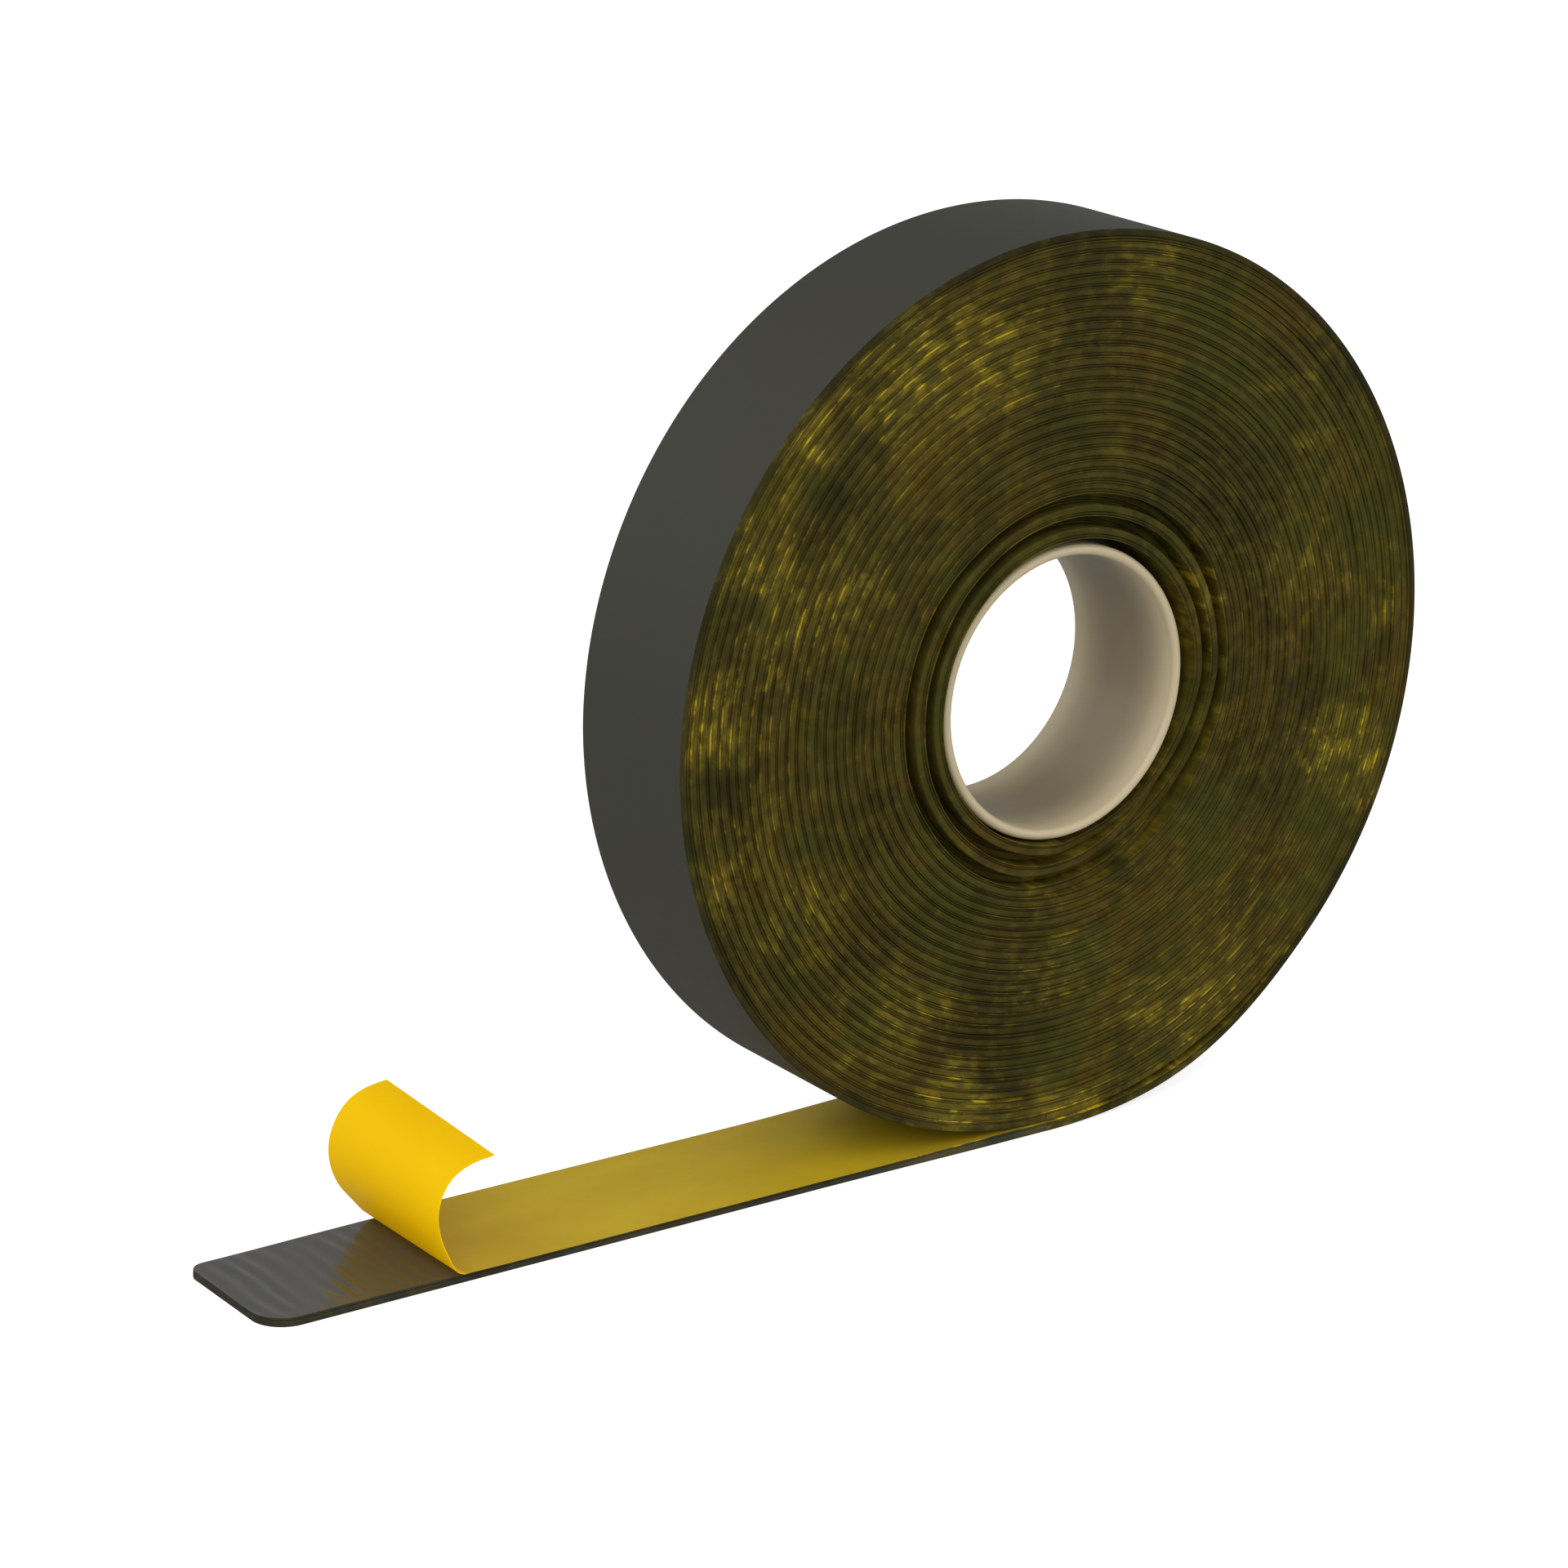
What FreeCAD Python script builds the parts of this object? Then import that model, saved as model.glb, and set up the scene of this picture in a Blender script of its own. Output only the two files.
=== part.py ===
"""A standing roll of rubber tape on a plastic core, with its tail drawn out and its liner peeled back.

The tape is one long strip of three layers: a rubber backing, an adhesive coat and a release liner.
The strip is wound with the liner inward and leaves the roll at the bottom, towards -X.
Frame, in millimetres: origin at the centre of the core's bore, +Y along the bore, +Z up.
"""

import FreeCAD, Part
import math
import os

# --- the tape strip, from its outer face inward ---
TAPE_WIDTH = 19.0
BACKING_THICK = 0.80
ADHESIVE_THICK = 0.31
LINER_THICK = 0.10
LINER_OVERHANG = 0.15  # how far the liner stands past the tape on each side
LAYER_GAP = 0.02  # clearance between one layer and the next

# --- the core ---
CORE_BORE = 32.0
CORE_WALL = 1.5
CORE_CHAMFER = 0.35

# --- the winding ---
TURNS = 27
SLOT_ANGLE = 32.0  # degrees of strip left out under the outer turn, so that the wound part can turn

# --- the tail, all distances measured from the roll's axis towards -X ---
FOOT_END = 16.0  # where the outer turn's flat run ends and the tail run starts
BEND_AT = 42.0  # where the tail end lifts
PEEL_AT = 79.2  # where the liner leaves the adhesive
TAIL_LENGTH = 102.5
END_CORNER = 2.2  # rounding of the cut end's two corners, seen from above
CUT_GAP = 0.10  # clearance between one length of strip and the next

# --- the peeled length of liner, as arcs that follow one another from the peel line ---
PEEL_CLEARANCE = 0.06  # the curl slides this far above the liner that is still down
CURL_BEND_RADIUS = 1.5
CURL_LEAVE_ANGLE = 50.0  # degrees, the slope at which the liner leaves the tape
CURL_RISE_RADIUS = 17.6
CURL_RISE_ANGLE = 76.0
CURL_TOP_RADIUS = 5.3
CURL_TOP_ANGLE = 175.0
CURL_LIP = 2.6  # the straight free edge

# --- worked out from the sizes above ---
CORE_WIDTH = TAPE_WIDTH
STRIP_THICK = BACKING_THICK + ADHESIVE_THICK + LINER_THICK + 2 * LAYER_GAP
PITCH = STRIP_THICK + LAYER_GAP
CORE_RADIUS = CORE_BORE / 2 + CORE_WALL
FIRST_RADIUS = CORE_RADIUS + LAYER_GAP + PITCH / 4
STRIP_TOP = -(CORE_RADIUS + LAYER_GAP + TURNS * PITCH)  # the liner's upper face on the flat tail
FLOOR = STRIP_TOP - STRIP_THICK
FULL_TURN = 360.0

# each layer as (distance of its inner face from the strip's inner face, thickness, width)
LAYERS = {
    "liner": (0.0, LINER_THICK, TAPE_WIDTH + 2 * LINER_OVERHANG),
    "adhesive": (LINER_THICK + LAYER_GAP, ADHESIVE_THICK, TAPE_WIDTH),
    "backing": (LINER_THICK + ADHESIVE_THICK + 2 * LAYER_GAP, BACKING_THICK, TAPE_WIDTH),
}


def point(x, z):
    """A point of a profile, which is drawn at y = 0."""
    return FreeCAD.Vector(x, 0, z)


def line(start, end):
    return Part.LineSegment(start, end).toShape()


def spiral_point(angle, offset, half_turn):
    """The strip's inner face, moved out by offset, at an angle in degrees along the winding.

    Angles start at the bottom of the first turn and run by way of the left side. Every half turn is
    a half circle, and left and right halves have centres half a pitch apart, so the halves meet
    smoothly and the radius grows by one pitch a turn.
    """
    centre = PITCH / 4 if half_turn % 2 == 0 else -PITCH / 4
    radius = FIRST_RADIUS + half_turn * PITCH / 2 + offset
    turned = math.radians(angle)
    return point(-radius * math.sin(turned), centre - radius * math.cos(turned))


def spiral_edges(start, end, offset):
    """The arcs of the winding from one angle to another."""
    edges = []
    for half_turn in range(int(start // 180), math.ceil(end / 180)):
        first = max(start, half_turn * 180)
        last = min(end, (half_turn + 1) * 180)
        corners = [spiral_point(a, offset, half_turn) for a in (first, (first + last) / 2, last)]
        edges.append(Part.Arc(*corners).toShape())
    return edges


def extruded(edges, width):
    """The solid of a closed profile, centred on the roll's width."""
    wire = Part.Wire(Part.__sortEdges__(edges))
    solid = Part.Face(wire).extrude(FreeCAD.Vector(0, width, 0))
    solid.translate(FreeCAD.Vector(0, -width / 2, 0))
    return solid


def spiral_strip(layer, start, end, run_out=0.0):
    """One layer wound from one angle to another, then a flat run past the roll's bottom, if any."""
    offset, thick, width = LAYERS[layer]
    inner = spiral_edges(start, end, offset)
    outer = spiral_edges(start, end, offset + thick)
    inner_end = inner[-1].Vertexes[-1].Point
    outer_end = outer[-1].Vertexes[-1].Point
    edges = inner + outer
    edges.append(line(inner[0].Vertexes[0].Point, outer[0].Vertexes[0].Point))
    if run_out:
        inner_out = inner_end - FreeCAD.Vector(run_out, 0, 0)
        outer_out = outer_end - FreeCAD.Vector(run_out, 0, 0)
        edges += [line(inner_end, inner_out), line(outer_end, outer_out)]
        inner_end, outer_end = inner_out, outer_out
    edges.append(line(inner_end, outer_end))
    return extruded(edges, width)


def flat_strip(layer, near, far, corner=0.0):
    """One layer of the tail between two distances from the roll's axis, with the far corners rounded."""
    offset, thick, width = LAYERS[layer]
    box = Part.makeBox(far - near, width, thick)
    box.translate(FreeCAD.Vector(-far, -width / 2, STRIP_TOP - offset - thick))
    if not corner:
        return box
    upright = [e for e in box.Edges if all(abs(v.X + far) < LAYER_GAP / 2 for v in e.Vertexes)]
    upright = [e for e in upright if abs(e.Vertexes[0].Z - e.Vertexes[1].Z) > thick / 2]
    return box.makeFillet(corner, upright)


def core():
    """The plastic tube, with its four rims chamfered."""
    along = FreeCAD.Vector(0, 1, 0)
    start = FreeCAD.Vector(0, -CORE_WIDTH / 2, 0)
    tube = Part.makeCylinder(CORE_RADIUS, CORE_WIDTH, start, along)
    tube = tube.cut(Part.makeCylinder(CORE_BORE / 2, CORE_WIDTH, start, along))
    rims = [e for e in tube.Edges if isinstance(e.Curve, Part.Circle)]
    return tube.makeChamfer(CORE_CHAMFER, rims)


def film_arcs(x, z, arcs):
    """Places arcs of (radius, from, to), in degrees, one after the other, and says where they end.

    A heading of 0 is towards -X, and 90 is straight up.
    Each placed arc is (centre, radius, from, to), in radians.
    """
    faces = []
    for radius, first, last in arcs:
        a0, a1 = math.radians(first), math.radians(last)
        centre = point(x + radius * math.sin(a0), z + radius * math.cos(a0))
        faces.append((centre, radius, a0, a1))
        x = centre.x - radius * math.sin(a1)
        z = centre.z - radius * math.cos(a1)
    return faces, x, z


def film(faces, lip_angle=0.0, lip=0.0):
    """A strip of film along arcs that meet smoothly, with a straight lip past the last one."""
    edges, ends = [], []
    for side in (-LINER_THICK / 2, LINER_THICK / 2):
        corners = []
        for centre, radius, a0, a1 in faces:
            r = radius + side
            angles = (a0, (a0 + a1) / 2, a1)
            at = [point(centre.x - r * math.sin(a), centre.z - r * math.cos(a)) for a in angles]
            edges.append(Part.Arc(*at).toShape())
            corners += [at[0], at[2]]
        last = corners[-1]
        if lip:
            heading = math.radians(lip_angle)
            tip = last + point(-lip * math.cos(heading), lip * math.sin(heading))
            edges.append(line(last, tip))
            last = tip
        ends.append((corners[0], last))
    edges += [line(ends[0][0], ends[1][0]), line(ends[0][1], ends[1][1])]
    return extruded(edges, TAPE_WIDTH + 2 * LINER_OVERHANG)


def peeled_liner():
    """The film that has left the adhesive: its lower curl, and the tip that flexes on it."""
    height = STRIP_TOP + PEEL_CLEARANCE + LINER_THICK / 2
    bend = (CURL_BEND_RADIUS, 0.0, CURL_LEAVE_ANGLE)
    rise = [bend, (CURL_RISE_RADIUS, CURL_LEAVE_ANGLE, CURL_RISE_ANGLE)]
    curl, x, z = film_arcs(-PEEL_AT, height, rise)
    cut_angle = math.degrees(CUT_GAP / CURL_TOP_RADIUS)
    tip, _, _ = film_arcs(x, z, [(CURL_TOP_RADIUS, CURL_RISE_ANGLE, CURL_TOP_ANGLE)])
    centre, radius, first, last = tip[0]
    tip = [(centre, radius, first + math.radians(cut_angle), last)]
    return {"liner_curl": film(curl), "liner_tip": film(tip, CURL_TOP_ANGLE, CURL_LIP)}, (x, z)


def build():
    """Every node's solid, by name."""
    nodes = {"core": core()}
    outer_start = (TURNS - 1) * FULL_TURN
    for layer in LAYERS:
        peel = PEEL_AT if layer == "liner" else TAIL_LENGTH
        corner = 0.0 if layer == "liner" else END_CORNER
        nodes[f"wound_{layer}"] = spiral_strip(layer, 0.0, outer_start - SLOT_ANGLE)
        nodes[f"outer_turn_{layer}"] = spiral_strip(layer, outer_start, TURNS * FULL_TURN, FOOT_END)
        nodes[f"tail_run_{layer}"] = flat_strip(layer, FOOT_END + CUT_GAP, BEND_AT)
        nodes[f"tail_end_{layer}"] = flat_strip(layer, BEND_AT + CUT_GAP, peel, corner)
    film_nodes, flex_at = peeled_liner()
    nodes.update(film_nodes)
    return nodes, flex_at


def main():
    os.makedirs("parts", exist_ok=True)
    nodes, flex_at = build()
    for name, shape in nodes.items():
        if not shape.isValid() or len(shape.Solids) != 1:
            raise RuntimeError(f"{name} is not one valid solid")
        shape.Solids[0].exportStep(f"parts/{name}.step")
        print(f"{name}: {shape.Volume:.1f} mm3, {len(shape.Faces)} faces")
    print(f"floor z {FLOOR:.3f}, strip top z {STRIP_TOP:.3f}, pitch {PITCH:.3f}")
    print(f"flex axis x {flex_at[0]:.3f}, z {flex_at[1]:.3f}")


main()
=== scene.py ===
"""The looks of the tape roll: its core, the strip's three layers, the free tail and the peeled liner."""

import math

import bpy
import numpy as np
from mathutils import Matrix, Vector


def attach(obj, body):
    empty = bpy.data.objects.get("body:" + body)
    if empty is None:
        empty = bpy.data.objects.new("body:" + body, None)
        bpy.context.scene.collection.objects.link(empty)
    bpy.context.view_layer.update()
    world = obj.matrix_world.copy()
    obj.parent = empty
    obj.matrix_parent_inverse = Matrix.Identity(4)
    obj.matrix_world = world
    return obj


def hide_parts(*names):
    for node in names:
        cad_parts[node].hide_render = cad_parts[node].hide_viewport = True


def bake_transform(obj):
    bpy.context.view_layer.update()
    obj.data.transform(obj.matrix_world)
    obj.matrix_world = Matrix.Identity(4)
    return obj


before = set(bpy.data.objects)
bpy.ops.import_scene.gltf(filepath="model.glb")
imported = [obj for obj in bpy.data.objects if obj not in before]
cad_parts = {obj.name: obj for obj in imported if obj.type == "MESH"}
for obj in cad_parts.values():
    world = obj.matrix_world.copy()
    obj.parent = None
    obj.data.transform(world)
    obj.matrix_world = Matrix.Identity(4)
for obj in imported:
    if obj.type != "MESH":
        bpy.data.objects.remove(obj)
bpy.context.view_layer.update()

# --- the sizes of the CAD part, in millimetres ---
MM = 0.001
HALF_WIDTH = 9.5
PITCH = 1.27
CORE_BORE_R = 16.0
CORE_R = 17.5
LAYER_GAP = 0.02
FIRST_R = CORE_R + LAYER_GAP + PITCH / 4
TURNS = 27
SLOT_ANGLE = 32.0
STRIP_TOP = -(CORE_R + LAYER_GAP + TURNS * PITCH)
STRIP_THICK = 1.25
FLOOR = STRIP_TOP - STRIP_THICK
TAIL_LENGTH = 102.5
PEEL_AT = 79.2
OUTER_R = -FLOOR

# where the flat tail changes piece, as distances from the roll's axis
RUN_FROM = 34.8
BEND_TO = 49.0
TAIL_OVERHANG = 0.6

# each layer: distance of its inner face from the strip's inner face, thickness, half width, edge rounding
LAYERS = {
    "liner": (0.0, 0.10, HALF_WIDTH + 0.12, 0.04),
    "adhesive": (0.12, 0.31, HALF_WIDTH - 0.05, 0.10),
    "backing": (0.45, 0.80, HALF_WIDTH, 0.16),
}

# the core: how far its rims are set back, how much smaller its outer radius is, and its rims' rounding
RIM_SETBACK = 0.3
CORE_SHRINK = 0.26
RIM_ROUNDING = 0.6

# the outermost turn bulges by this much, between this angle round it and its foot
BULGE = 0.72
BULGE_FROM = 312.0

# the free tail: how much narrower, tapered at its back edge, thinner, and thicker again near its end
NARROWER = 0.035
BACK_TAPER = 0.075
THINNER = 0.24
END_THICKER = 0.14

# the free end: its corners' radii, the length with closer rings, and the ripple in the bared adhesive
CORNER_FRONT = 3.9
CORNER_BACK = 1.8
FINE_END = 4.5
RIPPLE = 0.10
RIPPLE_LENGTH = 2.3

# the roll's outline, filled out: degrees from the bottom towards -X, and how far out
FULLER_AT = [0, 45, 90, 120, 150, 210, 240, 270, 300, 330, 345, 360]
FULLER_BY = [0, 0.42, 0.68, 0.61, 0.51, 0.45, 0.38, 0.30, 0.16, 0.045, 0.015, 0]

# the second and fourth turns are recessed: turns from the core, and how far the strip's edges stand out
STEP_AT = [0.0, 0.75, 0.95, 1.85, 2.05, 2.75, 2.95, 3.85, 4.05, 7.0]
STEP_BY = [0.3, 0.3, -2.3, -2.3, 0.2, 0.2, -2.0, -2.0, 0.05, 0.0]


# --- shape helpers ---
def wobble(t, seed, scale):
    """Smooth repeatable unevenness of about -1 to 1, with features about one scale long."""
    rng = np.random.default_rng(seed)
    total = np.zeros_like(np.asarray(t, float))
    for _ in range(8):
        total += np.sin(2 * math.pi * t / (scale * rng.uniform(0.7, 2.6)) + rng.uniform(0, 2 * math.pi))
    return total / 4.5


def smooth(x, low, high):
    """0 at low and 1 at high, with no corner at either."""
    t = np.clip((x - low) / (high - low), 0, 1)
    return t * t * (3 - 2 * t)


def wound_point(angle, offset):
    """The winding's inner face moved out by offset, at an angle in degrees from the first turn's bottom."""
    half = np.minimum(np.floor(angle / 180.0), TURNS * 2 - 1)
    centre = np.where(half % 2 == 0, PITCH / 4, -PITCH / 4)
    radius = FIRST_R + half * PITCH / 2 + offset
    turned = np.radians(angle)
    return -radius * np.sin(turned), centre - radius * np.cos(turned)


def uneven(x, z):
    """Varies the turns' spacing, though not at the core or the tread, and fills out the roll's outline."""
    r = np.hypot(x, z)
    theta = np.arctan2(x, -z)
    inside = smooth(r, CORE_R, CORE_R + 6) * (1 - smooth(r, OUTER_R - 7, OUTER_R - 1.3))
    push = 0.16 * np.sin(theta * 2 + 0.7 + r * 0.12) + 0.11 * np.sin(theta * 3 - 1.1 - r * 0.19)
    push += 0.05 * np.sin(theta * 7 + r * 0.37 + 2.0) + 0.02 * np.sin(theta * 13 - r * 0.6)
    turned = np.degrees(-theta) % 360
    fuller = np.interp(turned, FULLER_AT, FULLER_BY)
    scale = 1 + (inside * push + fuller * smooth(r, CORE_R + 8, OUTER_R - 5)) / r
    return x * scale, z * scale


def section(half_width, thick, rounding, spans):
    """A rounded strip section as (across, height) points, and whether each side belongs to an edge."""
    steps = [math.radians(a) for a in (0, 30, 60, 90)]
    points, edge = [], []
    corners = [(1, 0, -90), (1, 1, 0), (-1, 1, 90), (-1, 0, 180)]
    for side, top, start in corners:
        cy = side * (half_width - rounding)
        cz = thick - rounding if top else rounding
        for a in steps:
            angle = math.radians(start) + a
            points.append((cy + rounding * math.cos(angle), cz + rounding * math.sin(angle)))
            edge.append(True)
        if start in (0, 180):
            edge[-1] = False
            inner = half_width - rounding - 0.25
            across = np.linspace(side * inner, -side * inner, spans + 1)
            for y in across:
                points.append((y, thick if top else 0.0))
                edge.append(False)
    return np.array(points), np.array(edge)


def loft(name, rings, edge, along, closed, materials):
    """A mesh through rings of points in millimetres. Its uv is the length along and the place round."""
    stations, count, _ = rings.shape
    i = np.arange(stations - 1)[:, None]
    j = np.arange(count)[None, :]
    k = (j + 1) % count
    quads = np.stack([i * count + j, i * count + k, (i + 1) * count + k, (i + 1) * count + j], -1)
    quads = quads.reshape(-1, 4)
    p = rings.reshape(-1, 3)
    a, b, c, d = (p[quads[:, n]] for n in range(4))
    volume = (a * np.cross(b, c)).sum() + (a * np.cross(c, d)).sum()
    turned = volume < 0
    faces = quads[:, ::-1].tolist() if turned else quads.tolist()
    kinds = np.tile(edge.astype(int), stations - 1).tolist()
    first = list(range(count))
    last = [(stations - 1) * count + n for n in range(count)]
    if closed[0]:
        faces.append(first if turned else first[::-1])
        kinds.append(1)
    if closed[1]:
        faces.append(last[::-1] if turned else last)
        kinds.append(1)
    mesh = bpy.data.meshes.new(name)
    mesh.from_pydata((p * MM).tolist(), [], faces)
    mesh.polygons.foreach_set("use_smooth", np.ones(len(faces), bool))
    mesh.polygons.foreach_set("material_index", np.array(kinds, np.int32))
    mesh.set_sharp_from_angle(angle=math.radians(50))
    round_it = np.linspace(0, 1, count, endpoint=False)
    uv = np.stack([np.repeat(along, count), np.tile(round_it, stations)], -1)
    index = np.zeros(len(mesh.loops), np.int32)
    mesh.loops.foreach_get("vertex_index", index)
    layer = mesh.uv_layers.new(name="strip")
    layer.data.foreach_set("uv", uv[index].astype(np.float32).ravel())
    for m in materials:
        mesh.materials.append(m)
    obj = bpy.data.objects.new(name, mesh)
    bpy.context.scene.collection.objects.link(obj)
    return obj


# --- material helpers ---
def new_material(name):
    """A material, its node tree and its Principled shader."""
    mat = bpy.data.materials.new(name)
    mat.use_nodes = True
    nodes = mat.node_tree.nodes
    shader = next(n for n in nodes if n.type == "BSDF_PRINCIPLED")
    return mat, mat.node_tree, shader


def put(tree, kind, inputs=(), **settings):
    """A new node with its settings, each input given a value or a link."""
    node = tree.nodes.new(kind)
    for name, value in settings.items():
        setattr(node, name, value)
    for socket, value in dict(inputs).items():
        target = node.inputs[socket]
        if isinstance(value, bpy.types.NodeSocket):
            tree.links.new(value, target)
        else:
            target.default_value = value
    return node


def math_node(tree, operation, a, b=0.0, clamp=False):
    return put(tree, "ShaderNodeMath", {0: a, 1: b}, operation=operation, use_clamp=clamp).outputs[0]


def times(tree, a, b, clamp=False):
    return math_node(tree, "MULTIPLY", a, b, clamp)


def plus(tree, a, b):
    return math_node(tree, "ADD", a, b)


def mapped(tree, source, scale):
    return put(tree, "ShaderNodeMapping", {"Vector": source, "Scale": scale}).outputs[0]


def noise(tree, vector, scale, detail=4.0, roughness=0.55, distortion=0.0):
    inputs = {"Vector": vector, "Scale": scale, "Detail": detail}
    inputs |= {"Roughness": roughness, "Distortion": distortion}
    return put(tree, "ShaderNodeTexNoise", inputs).outputs["Fac"]


def ramp(tree, fac, stops):
    """A colour from the stops, which are pairs of a place and a colour."""
    node = put(tree, "ShaderNodeValToRGB", {"Fac": fac})
    elements = node.color_ramp.elements
    elements[0].position, elements[0].color = stops[0][0], (*stops[0][1], 1)
    elements[1].position, elements[1].color = stops[-1][0], (*stops[-1][1], 1)
    for position, colour in stops[1:-1]:
        elements.new(position).color = (*colour, 1)
    return node.outputs["Color"]


def level(tree, fac, low, high):
    """0 at low and 1 at high, eased."""
    inputs = {"Value": fac, "From Min": low, "From Max": high}
    return put(tree, "ShaderNodeMapRange", inputs, interpolation_type="SMOOTHSTEP").outputs["Result"]


def mix(tree, fac, a, b):
    """Colour a turning into b: each is a link or a colour, and fac is a link or a number."""
    node = put(tree, "ShaderNodeMix", data_type="RGBA")
    for name, value in (("Factor", fac), ("A", a), ("B", b)):
        socket = next(s for s in node.inputs if s.name == name and (s.type == "RGBA") == (name != "Factor"))
        if isinstance(value, bpy.types.NodeSocket):
            tree.links.new(value, socket)
        else:
            socket.default_value = value if name == "Factor" else (*value, 1)
    return next(s for s in node.outputs if s.type == "RGBA")


def bump(tree, shader, height, distance, strength=1.0):
    node = put(tree, "ShaderNodeBump", {"Height": height, "Distance": distance, "Strength": strength})
    tree.links.new(node.outputs["Normal"], shader.inputs["Normal"])


def place(tree):
    return put(tree, "ShaderNodeTexCoord").outputs["Object"]


def axis(tree, name):
    return put(tree, "ShaderNodeSeparateXYZ", {"Vector": place(tree)}).outputs[name]


def scaled(colour, factor):
    return tuple(part * factor for part in colour)


# soft spots over the roll's faces: x, z and reach in millimetres, and strength
YELLOW = [(-44, 22, 8, 0.6), (-49, 3, 9, 0.5), (-40, 13, 8, 0.5), (-36, -20, 9, 0.5), (-25, -35, 10, 0.7),
          (-16, -33, 6, 0.5), (-14, -50, 10, 2.0), (1, -53, 9, 1.8), (16, -51, 7, 1.4), (19, -44, 12, 0.9),
          (43, -15, 10, 1.5), (-11, 40, 10, 0.6), (-23, 40, 12, 0.7), (33, 29, 10, 0.6), (46, 6, 8, 0.5),
          (20, 9, 4, 0.5), (-3, -24, 2.5, 1.5), (-50, -14, 8, 0.5), (-38, 33, 9, 0.6), (10, 48, 9, 0.5),
          (-46, 14, 20, 0.30), (-47, -10, 16, 0.25), (-25, 38, 18, 0.25), (30, -36, 18, 0.2),
          (-30, 17, 8, 0.5), (1, -34, 9, 0.7), (36, 12, 13, 0.35)]
SHADE = [(-32, 26, 5.5, 0.6), (-36, 22, 5, 0.4), (-46, -4, 6, 0.9), (-9, -42, 9, 0.6), (-42, 8, 4, 0.5),
         (-44, -13, 6, 0.5), (30, -28, 10, 0.25), (-2, 30, 9, 0.3), (24, 20, 8, 0.3)]


def spots(tree, places):
    """0 to 1 and over: soft irregular spots on the roll's faces."""
    at = place(tree)
    jitter = put(tree, "ShaderNodeTexNoise", {"Vector": at, "Scale": 190.0, "Detail": 3.0}).outputs["Color"]
    half = (0.5, 0.5, 0.5)
    middle = put(tree, "ShaderNodeVectorMath", {0: jitter, 1: half}, operation="SUBTRACT").outputs[0]
    inputs = {0: middle, 1: (0.012, 0.0, 0.012), 2: mapped(tree, at, (1, 0, 1))}
    moved = put(tree, "ShaderNodeVectorMath", inputs, operation="MULTIPLY_ADD").outputs[0]
    total = 0.0
    for x, z, reach, strength in places:
        centre = (x * MM, 0.0, z * MM)
        pair = {0: moved, 1: centre}
        away = put(tree, "ShaderNodeVectorMath", pair, operation="DISTANCE").outputs["Value"]
        inputs = {"Value": away, "From Max": reach * MM, "To Min": strength, "To Max": 0.0}
        near = put(tree, "ShaderNodeMapRange", inputs, interpolation_type="SMOOTHSTEP").outputs["Result"]
        total = plus(tree, total, near)
    return total


def polar(tree, around, outward):
    """A noise vector that stretches along the turns: around features to the radian, outward to the metre."""
    at = put(tree, "ShaderNodeSeparateXYZ", {"Vector": place(tree)})
    x, y, z = at.outputs
    r2 = plus(tree, times(tree, x, x), times(tree, z, z))
    r = math_node(tree, "SQRT", r2)
    cx = times(tree, math_node(tree, "DIVIDE", x, r), around)
    cz = times(tree, math_node(tree, "DIVIDE", z, r), around)
    out = plus(tree, times(tree, r, outward), times(tree, y, 60.0))
    return put(tree, "ShaderNodeCombineXYZ", {"X": cx, "Y": cz, "Z": out}).outputs[0]


def make_core():
    mat, tree, shader = new_material("core_plastic")
    grain = noise(tree, place(tree), 60.0, 3.0)
    # painted shade and light: the bore's wall is painted darker in the middle of its width and paler towards
    # both rims, over the plastic's own grain
    from_middle = math_node(tree, "ABSOLUTE", axis(tree, "Y"))
    grain_and_painted_light = plus(tree, times(tree, grain, 0.3), level(tree, from_middle, 0.0015, 0.0105))
    painted_shade_deep, mid, painted_light_rim = (0.152, 0.121, 0.067), (0.262, 0.212, 0.125), (0.42, 0.350, 0.220)
    colour = ramp(tree, grain_and_painted_light, [(0.1, painted_shade_deep), (0.6, mid), (1.1, painted_light_rim)])
    tree.links.new(colour, shader.inputs["Base Color"])
    shader.inputs["Roughness"].default_value = 0.42
    shader.inputs["Specular IOR Level"].default_value = 0.4
    shader.inputs["Subsurface Weight"].default_value = 0.15
    shader.inputs["Subsurface Radius"].default_value = (0.004, 0.003, 0.002)
    shader.inputs["Subsurface Scale"].default_value = 0.3
    draw = noise(tree, mapped(tree, place(tree), (400.0, 15.0, 400.0)), 1.0, 2.0)
    bump(tree, shader, draw, 0.00003, 0.6)
    return mat


def make_tread():
    mat, tree, shader = new_material("rubber_tread")
    cloud = noise(tree, place(tree), 30.0, 4.0)
    fine = noise(tree, place(tree), 2200.0, 2.0)
    lines = noise(tree, mapped(tree, place(tree), (8.0, 420.0, 8.0)), 1.0, 3.0)
    colour = ramp(tree, cloud, [(0.25, (0.0260, 0.0260, 0.0175)), (0.75, (0.0335, 0.0335, 0.0240))])
    tree.links.new(colour, shader.inputs["Base Color"])
    tree.links.new(level(tree, cloud, -1.9, 2.2), shader.inputs["Roughness"])
    shader.inputs["Specular IOR Level"].default_value = 0.25
    height = plus(tree, times(tree, fine, 0.5), times(tree, lines, 0.6))
    bump(tree, shader, height, 0.00002, 0.5)
    return mat


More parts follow.
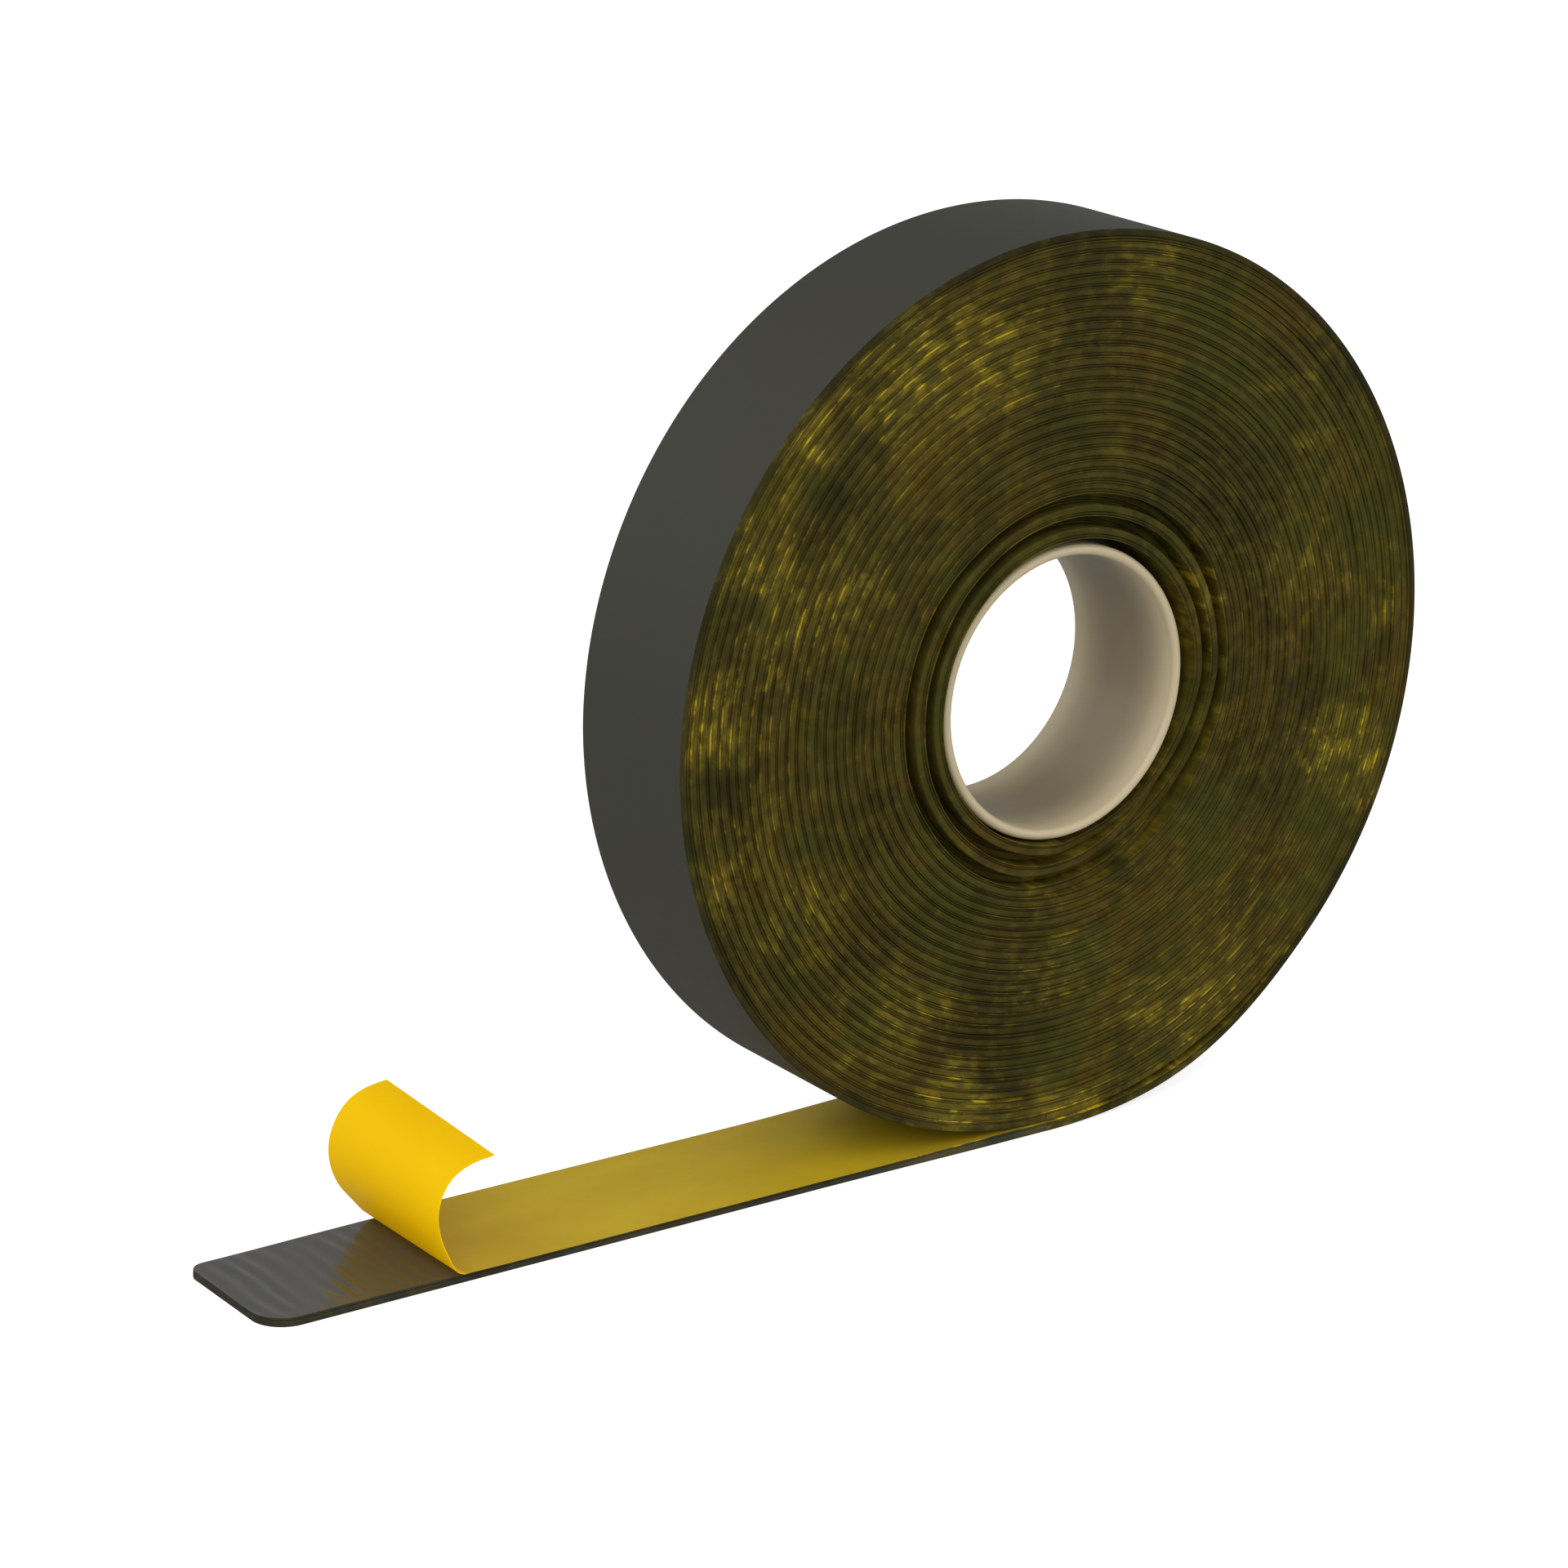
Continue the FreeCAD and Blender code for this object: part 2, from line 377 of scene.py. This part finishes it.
def make_edge(name, dark, middle, bright, roughness, height):
    """The side of one layer in the roll: dark olive, with yellow streaks that follow the turns."""
    mat, tree, shader = new_material(name)
    slow = noise(tree, polar(tree, 2.6, 80.0), 1.0, 3.0, 0.55, 0.4)
    turns = noise(tree, polar(tree, 2.2, 820.0), 1.0, 3.0, 0.6)
    streak = noise(tree, polar(tree, 13.0, 1150.0), 1.0, 5.0, 0.62, 0.3)
    cloud = noise(tree, place(tree), 85.0, 3.0, 0.6)
    speck = noise(tree, place(tree), 420.0, 3.0, 0.6)
    # clouds of brown and green, darker in some turns, with paler specks
    brown = tuple(c * k for c, k in zip(middle, (1.22, 0.98, 0.9)))
    green = tuple(c * k for c, k in zip(middle, (0.84, 1.02, 1.0)))
    base = mix(tree, level(tree, cloud, 0.38, 0.62), green, brown)
    tone = plus(tree, times(tree, slow, 0.6), times(tree, turns, 0.4))
    base = mix(tree, math_node(tree, "SUBTRACT", 1.0, level(tree, tone, 0.36, 0.60)), base, dark)
    base = mix(tree, times(tree, level(tree, speck, 0.45, 0.75), 0.5), base, scaled(middle, 1.7))
    # the dark spots, and a soft haze in the yellow ones
    shade = times(tree, spots(tree, SHADE), plus(tree, level(tree, slow, 0.3, 0.6), 0.4))
    base = mix(tree, math_node(tree, "MINIMUM", shade, 0.85), base, scaled(dark, 0.45))
    yellow = spots(tree, YELLOW)
    haze = times(tree, times(tree, yellow, level(tree, cloud, 0.25, 0.65)), 0.55)
    base = mix(tree, math_node(tree, "MINIMUM", haze, 0.6), base, scaled(middle, 2.5))
    # broken streaks, faint everywhere and strong in the yellow spots
    broken = times(tree, level(tree, streak, 0.45, 0.60), level(tree, speck, 0.32, 0.60))
    patch = times(tree, times(tree, broken, level(tree, cloud, 0.33, 0.57)), 1.2)
    fac = times(tree, patch, plus(tree, yellow, 0.10), clamp=True)
    tree.links.new(mix(tree, fac, base, bright), shader.inputs["Base Color"])
    shader.inputs["Roughness"].default_value = roughness
    shader.inputs["Specular IOR Level"].default_value = 0.08
    grain = noise(tree, place(tree), 1500.0, 3.0)
    total = plus(tree, times(tree, grain, 0.5), streak)
    bump(tree, shader, total, height, 0.8)
    return mat


def make_laid_liner():
    mat, tree, shader = new_material("liner_laid")
    cloud = noise(tree, mapped(tree, place(tree), (60.0, 110.0, 60.0)), 1.0, 4.0)
    fine = noise(tree, place(tree), 1400.0, 2.0)
    colour = ramp(tree, cloud, [(0.3, (0.415, 0.282, 0.0075)), (0.7, (0.480, 0.335, 0.011))])
    # painted shadow: the liner is painted up to half as dark near the roll's axis, under and beside the
    # roll, fading out by 30 mm from it
    reach = times(tree, axis(tree, "X"), -1.0)
    shadowed_near_roll = mix(tree, level(tree, reach, 0.002, 0.030), mix(tree, 0.5, colour, (0.05, 0.035, 0.004)), colour)
    tree.links.new(shadowed_near_roll, shader.inputs["Base Color"])
    shader.inputs["Roughness"].default_value = 0.5
    shader.inputs["Specular IOR Level"].default_value = 0.15
    bump(tree, shader, plus(tree, fine, times(tree, cloud, 2.0)), 0.00003, 0.5)
    return mat


def make_free_liner():
    mat, tree, shader = new_material("liner_free")
    cloud = noise(tree, mapped(tree, place(tree), (70.0, 40.0, 70.0)), 1.0, 3.0)
    colour = ramp(tree, cloud, [(0.3, (0.92, 0.645, 0.0005)), (0.7, (0.97, 0.70, 0.001))])
    tree.links.new(colour, shader.inputs["Base Color"])
    shader.inputs["Roughness"].default_value = 0.5
    shader.inputs["Specular IOR Level"].default_value = 0.10
    bump(tree, shader, noise(tree, place(tree), 1400.0, 2.0), 0.00002, 0.4)
    glow = put(tree, "ShaderNodeBsdfTranslucent", {"Color": (1.0, 0.76, 0.002, 1)})
    both = put(tree, "ShaderNodeMixShader", {0: 0.5, 1: shader.outputs[0], 2: glow.outputs[0]})
    out = next(n for n in tree.nodes if n.type == "OUTPUT_MATERIAL")
    tree.links.new(both.outputs[0], out.inputs["Surface"])
    return mat


def make_bare_adhesive():
    mat, tree, shader = new_material("adhesive_bare")
    cloud = noise(tree, mapped(tree, place(tree), (160.0, 60.0, 160.0)), 1.0, 4.0)
    colour = ramp(tree, cloud, [(0.3, (0.034, 0.034, 0.029)), (0.7, (0.048, 0.047, 0.040))])
    tree.links.new(colour, shader.inputs["Base Color"])
    tree.links.new(level(tree, cloud, -1.1, 4.0), shader.inputs["Roughness"])
    shader.inputs["Specular IOR Level"].default_value = 0.65
    fine = noise(tree, mapped(tree, place(tree), (900.0, 250.0, 900.0)), 1.0, 3.0)
    bump(tree, shader, fine, 0.00005, 0.5)
    return mat


TREAD = make_tread()
BACKING_EDGE = make_edge(
    "rubber_edge", dark=(0.0250, 0.0197, 0.0028), middle=(0.0440, 0.0350, 0.0040),
    bright=(0.15, 0.110, 0.008), roughness=0.7, height=0.00006)
OUTER_EDGE = make_edge(
    "rubber_edge_outer", dark=(0.012, 0.0100, 0.0022), middle=(0.024, 0.0195, 0.0035),
    bright=(0.10, 0.075, 0.007), roughness=0.7, height=0.00006)
ADHESIVE_EDGE = make_edge(
    "adhesive_edge", dark=(0.017, 0.0135, 0.0020), middle=(0.031, 0.0245, 0.0028),
    bright=(0.13, 0.094, 0.007), roughness=0.6, height=0.00005)
LINER_EDGE = make_edge(
    "liner_edge", dark=(0.026, 0.0205, 0.0027), middle=(0.058, 0.046, 0.0048),
    bright=(0.46, 0.34, 0.020), roughness=0.5, height=0.00003)
TAIL_EDGE = make_edge(
    "tail_edge", dark=(0.022, 0.020, 0.013), middle=(0.034, 0.031, 0.018),
    bright=(0.06, 0.05, 0.012), roughness=0.55, height=0.00004)
LAID = make_laid_liner()
FREE = make_free_liner()
BARE = make_bare_adhesive()
EDGES = {"backing": BACKING_EDGE, "adhesive": ADHESIVE_EDGE, "liner": LINER_EDGE}
FACES = {"backing": TREAD, "adhesive": BARE, "liner": LAID}


# --- the winding ---
def side_shift(angle):
    """How far the strip has wandered sideways along the winding, and how far its edges stand out."""
    turn = angle / 360.0
    wander = 0.10 * wobble(angle, 11, 260.0) + 0.07 * wobble(angle, 12, 90.0)
    wander += 0.10 * wobble(angle, 13, 3000.0)
    return wander * smooth(turn, 0.2, 3.0), np.interp(turn, STEP_AT, STEP_BY)


def wound_strip(layer, start, end, name, closed, step=1.9, spans=1, slack=False):
    """One layer between two angles of the winding. The slack one is the outermost turn, flat at its foot."""
    offset, thick, half_width, rounding = LAYERS[layer]
    points, edge = section(half_width, thick, rounding, spans)
    count = max(2, int(round((end - start) / step)) + 1)
    angle = np.linspace(start, end, count)
    shift, stand_out = side_shift(angle)
    fluff = {"liner": 0.16, "adhesive": 0.08, "backing": 0.0}[layer]
    spill_front = fluff * np.clip(wobble(angle, 31, 55.0) + 0.25, -0.5, 1.2)
    spill_back = fluff * np.clip(wobble(angle, 32, 60.0) + 0.25, -0.5, 1.2)
    rings = np.zeros((count, len(points), 3))
    for n, (y, height) in enumerate(points):
        x, z = wound_point(angle, offset + height)
        x, z = uneven(x, z)
        if slack:
            turn = angle - (TURNS - 1) * 360.0
            loose = BULGE * np.sin(np.pi * np.clip((turn - BULGE_FROM) / (360.0 - BULGE_FROM), 0, 1)) ** 2
            r = np.hypot(x, z)
            x, z = x * (1 + loose / r), z * (1 + loose / r)
            z = np.maximum(z, FLOOR + 0.001 + (STRIP_THICK - offset - height))
        spill = spill_front if y < 0 else spill_back
        across = y + np.sign(y) * (stand_out + spill) * (abs(y) / half_width)
        rings[:, n] = np.stack([x, across + shift, z], -1)
    middle = FIRST_R + np.cumsum(np.full(count, PITCH * (angle[1] - angle[0]) / 360.0))
    length = np.cumsum(np.radians(angle[1] - angle[0]) * middle) * MM
    face = FACES[layer] if slack and layer != "liner" else EDGES[layer]
    edge_mat = OUTER_EDGE if slack and layer == "backing" else EDGES[layer]
    return loft(name, rings, edge, length + start * 0.0007, closed, (face, edge_mat))


# --- the flat tail ---
def flat_strip(layer, near, far, name, closed=(False, False), step=1.0, spans=6, rounded=False, ripple=0.0):
    """One layer of the tail between two distances from the roll's axis, rounded at a free end."""
    offset, thick, half_width, rounding = LAYERS[layer]
    points, edge = section(half_width, thick, rounding, spans)
    reach = np.linspace(near, far, max(2, int(round((far - near) / step)) + 1))
    if rounded:
        fine = far - FINE_END * (1 - np.sin(np.linspace(0, math.pi / 2, 26)))
        reach = np.concatenate([reach[reach < far - FINE_END], fine])
    rings = np.zeros((len(reach), len(points), 3))
    bottom = STRIP_TOP - offset - thick
    for n, (y, height) in enumerate(points):
        corner = CORNER_FRONT if y < 0 else CORNER_BACK
        pull = np.clip((reach - (far - corner)) / corner, 0, 1) if rounded else np.zeros(len(reach))
        trim = corner * (1 - np.sqrt(np.clip(1 - pull * pull, 0, 1)))
        across = np.sign(y) * np.maximum(0.0, abs(y) - trim * (abs(y) / half_width))
        z = bottom + height + np.zeros(len(reach))
        if ripple and height > thick / 2:
            phase = 0.5 * np.sin(y * 0.5) + 1.05 * wobble(reach, 71, 5.0)
            wave = np.sin(reach * 2 * math.pi / RIPPLE_LENGTH + phase)
            strength = 0.55 + 0.45 * wobble(reach + y * 0.4, 72, 7.0)
            z = z + ripple * wave * strength * smooth(abs(y), 9.6, 8.0)
        taper = BACK_TAPER * smooth(reach, 70, 100) if y > 0 else 0
        across = across * (1 - NARROWER * smooth(reach, 4, 34) - taper)
        thin = 1 - THINNER * smooth(reach, 4, 30) + END_THICKER * smooth(reach, 70, 92)
        rings[:, n] = np.stack([-reach, across, FLOOR + (z - FLOOR) * thin], -1)
    edge_mat = TAIL_EDGE if layer != "liner" else LINER_EDGE
    return loft(name, rings, edge, reach * MM, closed, (FACES[layer], edge_mat))


def spline(points, count):
    """count points evenly spaced along a smooth curve through the given ones."""
    points = np.array(points, float)
    n = len(points)
    s = np.concatenate([[0], np.cumsum(np.hypot(*np.diff(points, axis=0).T))])
    h = np.diff(s)
    a = np.zeros((n, n))
    b = np.zeros((n, 2))
    a[0, 0] = a[-1, -1] = 1
    for i in range(1, n - 1):
        a[i, i - 1:i + 2] = h[i - 1], 2 * (h[i - 1] + h[i]), h[i]
        b[i] = 6 * ((points[i + 1] - points[i]) / h[i] - (points[i] - points[i - 1]) / h[i - 1])
    m = np.linalg.solve(a, b)
    t = np.linspace(0, s[-1], count)
    i = np.clip(np.searchsorted(s, t, side="right") - 1, 0, n - 2)
    u, v, w = (t - s[i])[:, None], (s[i + 1] - t)[:, None], h[i][:, None]
    curve = m[i] * v**3 / (6 * w) + m[i + 1] * u**3 / (6 * w)
    return curve + (points[i] / w - m[i] * w / 6) * v + (points[i + 1] / w - m[i + 1] * w / 6) * u


def peeled_film():
    """The liner's free end: a curl that is a little wider at the back than at the front."""
    front = [(-PEEL_AT, 1.02), (-80.1, 1.40), (-81.2, 2.9), (-82.4, 5.6), (-82.9, 8.4), (-82.4, 10.8),
             (-81.1, 12.6), (-78.9, 13.7), (-75.9, 14.1)]
    back = [(-PEEL_AT, 1.02), (-80.2, 1.44), (-81.6, 2.9), (-83.7, 5.6), (-84.8, 8.4), (-84.9, 10.8),
            (-84.2, 13.0), (-82.4, 15.2), (-80.0, 16.2), (-77.6, 16.5)]
    count, spans, thick = 72, 14, 0.10
    ends = [spline(p, count) for p in (front, back)]
    half_width = LAYERS["liner"][2]
    t = np.linspace(0, 1, spans + 1)
    grid = ends[0][:, None] * (1 - t)[None, :, None] + ends[1][:, None] * t[None, :, None]
    along = np.gradient(grid, axis=0)
    along /= np.linalg.norm(along, axis=2, keepdims=True)
    normal = np.stack([-along[..., 1], along[..., 0]], -1)
    outer, inner = grid + normal * thick / 2, grid - normal * thick / 2
    width = half_width * (1 - NARROWER * (1 - smooth(np.arange(count), 0, 14)))
    y = (t * 2 - 1)[None, :] * width[:, None]
    top = np.stack([outer[..., 0], y, outer[..., 1] + FLOOR], -1)
    low = np.stack([inner[..., 0], y, inner[..., 1] + FLOOR], -1)
    rings = np.concatenate([top, low[:, ::-1]], axis=1)
    edge = np.zeros(rings.shape[1], bool)
    film_length = 22.0
    along_film = np.linspace(0, film_length * MM, count)
    return loft("peeled_liner", rings, edge, along_film, (True, True), (FREE, FREE))


def core_tube():
    """The core, turned about the bore's axis, with rims rounded where they meet the eye."""
    side = HALF_WIDTH - RIM_SETBACK - RIM_ROUNDING
    inner = CORE_BORE_R + RIM_ROUNDING
    outer = CORE_R - CORE_SHRINK - RIM_ROUNDING
    profile = []
    for radius, y, turn in ((outer, side, 0), (inner, side, 90), (inner, -side, 180), (outer, -side, 270)):
        for a in np.linspace(0, 90, 6):
            angle = math.radians(turn + a)
            profile.append((radius + RIM_ROUNDING * math.cos(angle), y + RIM_ROUNDING * math.sin(angle)))
    count = 241
    angle = np.linspace(0, 2 * math.pi, count)
    out_of_round = 0.05 * np.sin(2 * angle + 0.4)
    rings = np.zeros((count, len(profile), 3))
    for n, (r, y) in enumerate(profile):
        radius = r + out_of_round
        rings[:, n] = np.stack([radius * np.sin(angle), np.full(count, y), -radius * np.cos(angle)], -1)
    edge = np.zeros(len(profile), bool)
    return loft("core_tube", rings, edge, angle * CORE_R * MM, (False, False), (make_core(),))


core = core_tube()
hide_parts("core")
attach(core, "wound_roll")

OPEN = (False, False)
outer_start = (TURNS - 1) * 360.0
slot_start = outer_start - SLOT_ANGLE
for layer in LAYERS:
    wound = wound_strip(layer, 0.0, slot_start, f"wound_{layer}_strip", (True, False))
    lead = wound_strip(layer, slot_start, outer_start, f"lead_{layer}_strip", OPEN, 1.0)
    outer = wound_strip(layer, outer_start, TURNS * 360.0, f"outer_{layer}_strip", OPEN, 1.0, 10, True)
    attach(wound, "wound_roll")
    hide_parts(f"wound_{layer}")
    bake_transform(lead)
    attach(outer, "outer_turn")
    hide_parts(f"outer_turn_{layer}")
    feed = flat_strip(layer, 0.0, RUN_FROM, f"feed_{layer}_strip")
    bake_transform(feed)
    bend = flat_strip(layer, RUN_FROM, BEND_TO, f"bend_{layer}_strip", step=0.5)
    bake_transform(bend)
    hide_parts(f"tail_run_{layer}")
    far = PEEL_AT if layer == "liner" else TAIL_LENGTH + TAIL_OVERHANG
    ripple = RIPPLE if layer == "adhesive" else 0.0
    name = f"end_{layer}_strip"
    end = flat_strip(layer, BEND_TO, far, name, (False, True), 0.25, 12, layer != "liner", ripple)
    if layer == "liner":
        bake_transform(end)
    else:
        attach(end, "tail_end")
    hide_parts(f"tail_end_{layer}")

film = peeled_film()
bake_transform(film)
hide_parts("liner_curl", "liner_tip")

# --- floor, light and camera ---
ground = bpy.data.meshes.new("floor")
side, level_z = 6.0, FLOOR * MM - 0.00002
corners = [(x * side, y * side, level_z) for x, y in ((-1, -1), (1, -1), (1, 1), (-1, 1))]
ground.from_pydata(corners, [], [(0, 1, 2, 3)])
floor = bpy.data.objects.new("floor", ground)
bpy.context.scene.collection.objects.link(floor)
paper, tree, shader = new_material("studio_floor")
tone = ramp(tree, noise(tree, place(tree), 3.0), [(0.2, (0.60, 0.60, 0.60)), (0.8, (0.62, 0.62, 0.62))])
tree.links.new(tone, shader.inputs["Base Color"])
shader.inputs["Roughness"].default_value = 0.9
shader.inputs["Specular IOR Level"].default_value = 0.1
# the floor and the sky look brighter to the camera than to the object
FLOOR_GLOW = 0.72
SKY_LIGHT = 0.45
SKY_SEEN = 1.0
seen = put(tree, "ShaderNodeLightPath").outputs["Is Camera Ray"]
tree.links.new(times(tree, seen, FLOOR_GLOW), shader.inputs["Emission Strength"])
shader.inputs["Emission Color"].default_value = (1, 1, 1, 1)
ground.materials.append(paper)

world = bpy.data.worlds.new("studio")
bpy.context.scene.world = world
world.use_nodes = True
tree = world.node_tree
backdrop = next(n for n in tree.nodes if n.type == "BACKGROUND")
backdrop.inputs["Color"].default_value = (1, 1, 1, 1)
seen = put(tree, "ShaderNodeLightPath").outputs["Is Camera Ray"]
lit = plus(tree, times(tree, seen, SKY_SEEN - SKY_LIGHT), SKY_LIGHT)
tree.links.new(lit, backdrop.inputs["Strength"])


def softbox(name, spot, side, power):
    """A square lamp that faces the roll."""
    lamp = bpy.data.lights.new(name, "AREA")
    lamp.shape = "SQUARE"
    lamp.size = side
    lamp.energy = power
    obj = bpy.data.objects.new(name, lamp)
    obj.location = spot
    obj.rotation_mode = "QUATERNION"
    obj.rotation_quaternion = (-Vector(spot)).to_track_quat("-Z", "Y")
    bpy.context.scene.collection.objects.link(obj)


softbox("key", (-0.85, -0.95, 0.85), 1.8, 24.0)
softbox("fill", (0.9, -1.0, 0.5), 1.2, 6.5)
softbox("back", (-0.9, 1.25, 0.75), 1.6, 7.0)

lens = bpy.data.cameras.new("camera")
lens.lens = 107.9
lens.sensor_width = 36.0
lens.clip_start, lens.clip_end = 0.01, 20.0
camera = bpy.data.objects.new("camera", lens)
bpy.context.scene.collection.objects.link(camera)
azimuth, elevation, roll, distance = -0.63192, 0.31932, 0.02713, 0.5205
level_part = math.cos(elevation)
back = Vector((math.sin(azimuth) * level_part, -math.cos(azimuth) * level_part, math.sin(elevation)))
right = (-back).cross(Vector((0, 0, 1))).normalized()
up = right.cross(-back).normalized()
across = right * math.cos(roll) + up * math.sin(roll)
above = up * math.cos(roll) - right * math.sin(roll)
camera.location = Vector((-0.03218, 0.0, -0.00774)) + back * distance
camera.rotation_mode = "QUATERNION"
columns = (across, above, back)
camera.rotation_quaternion = Matrix([[c[i] for c in columns] for i in range(3)]).to_quaternion()
bpy.context.scene.camera = camera
bpy.context.scene.view_settings.view_transform = "Standard"
